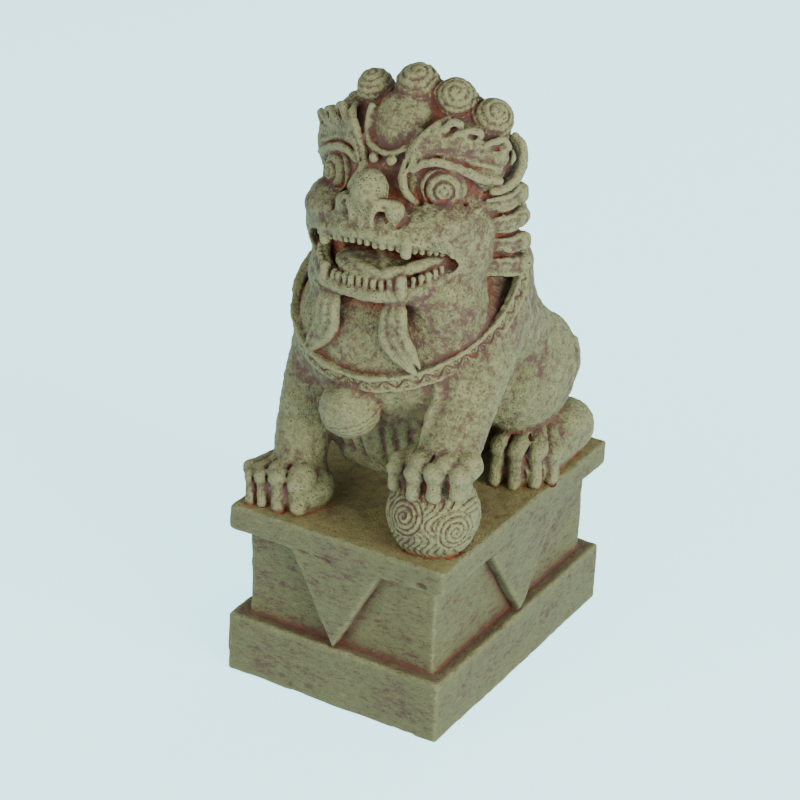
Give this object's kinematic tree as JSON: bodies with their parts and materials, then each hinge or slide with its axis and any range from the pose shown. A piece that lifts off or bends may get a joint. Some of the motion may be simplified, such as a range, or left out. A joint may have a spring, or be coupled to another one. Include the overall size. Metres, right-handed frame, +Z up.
{
  "type": "foo dog statue",
  "caption": "Cast stone guardian lion seated on a stepped plinth, one forepaw raised on an engraved ball, with a collar, a bell and curled hair.",
  "frame": {"origin": "centre of the plinth's underside", "axes": "+Z up; the lion faces -Y; +X is the lion's left side"},
  "size_m": [0.1019, 0.14, 0.26],
  "materials": {
    "figure_stone": "matte cast stone, mauve-brown body colour with pale green-yellow dry brushing and rust red in the hollows",
    "plinth_stone": "matte cast stone, mauve-brown with pale green-yellow worn edges and fine pits"
  },
  "bodies": {
    "root": {"ball": "figure_stone", "bell": "figure_stone", "bib": "figure_stone", "collar": "figure_stone", "crown_curls": "figure_stone", "forehead_boss": "figure_stone", "head": "figure_stone", "left_beard": "figure_stone", "left_brow": "figure_stone", "left_ear": "figure_stone", "left_eye": "figure_stone", "left_foreleg": "figure_stone", "left_forepaw": "figure_stone", "left_haunch": "figure_stone", "left_hind_paw": "figure_stone", "left_mane_locks": "figure_stone", "lower_jaw": "figure_stone", "lower_teeth": "figure_stone", "nape_curls": "figure_stone", "nose": "figure_stone", "pendant_back": "plinth_stone", "pendant_front": "plinth_stone", "pendant_left": "plinth_stone", "pendant_right": "plinth_stone", "plinth_cap": "plinth_stone", "plinth_die": "plinth_stone", "plinth_foot": "plinth_stone", "right_beard": "figure_stone", "right_brow": "figure_stone", "right_ear": "figure_stone", "right_eye": "figure_stone", "right_foreleg": "figure_stone", "right_forepaw": "figure_stone", "right_haunch": "figure_stone", "right_hind_paw": "figure_stone", "right_mane_locks": "figure_stone", "rump": "figure_stone", "snout": "figure_stone", "tail": "figure_stone", "tongue": "figure_stone", "torso": "figure_stone", "upper_teeth": "figure_stone"}
  },
  "joints": []
}
